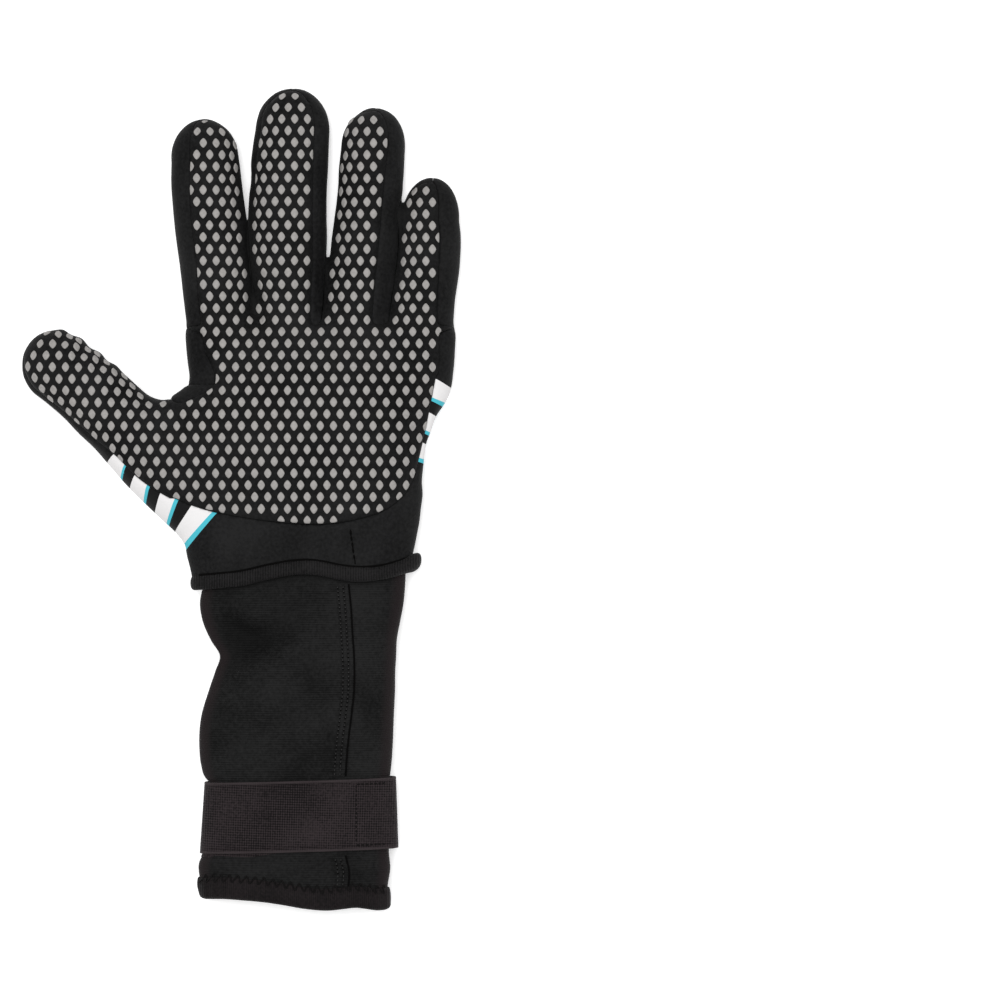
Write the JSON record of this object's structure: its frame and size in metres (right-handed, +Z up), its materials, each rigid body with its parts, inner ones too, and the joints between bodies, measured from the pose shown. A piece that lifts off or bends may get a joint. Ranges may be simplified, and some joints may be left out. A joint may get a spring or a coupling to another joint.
{
  "type": "diving glove",
  "caption": "Left-hand neoprene diving glove with a gripping palm, separate finger tubes, a long forearm cuff, a rolled wrist hem and an elastic strap, lying on its back.",
  "frame": {"origin": "on the flat underside of the back panel, below the middle of the palm", "axes": "+X from the thumb towards the little finger, +Y from the cuff towards the fingertips, +Z up out of the palm"},
  "size_m": [0.1887, 0.3538, 0.03],
  "materials": {
    "grip_neoprene": "matt black neoprene palm with small raised grey grip pips",
    "grip_print": "raised grey silicone grip print",
    "neoprene": "black nylon-faced neoprene with plain white and cyan side bands",
    "side_neoprene": "plain black nylon-faced neoprene",
    "hem_jersey": "black rolled jersey hem with small stitches",
    "cuff_neoprene": "black nylon-faced neoprene with fine ribs",
    "binding_tape": "black folded edge tape, zigzag stitched",
    "elastic_webbing": "matt black woven elastic",
    "hook_tab": "black hook-and-loop tab"
  },
  "bodies": {
    "root": {"palm_panel": "grip_neoprene", "back_panel": "neoprene", "side_strip_index_middle": "side_neoprene", "side_strip_middle_ring": "side_neoprene", "side_strip_ring_little": "side_neoprene", "thumb_gusset": "side_neoprene", "wrist_roll": "hem_jersey", "cuff": "cuff_neoprene", "cuff_binding": "binding_tape", "strap": "elastic_webbing", "strap_tab": "hook_tab"}
  },
  "joints": []
}
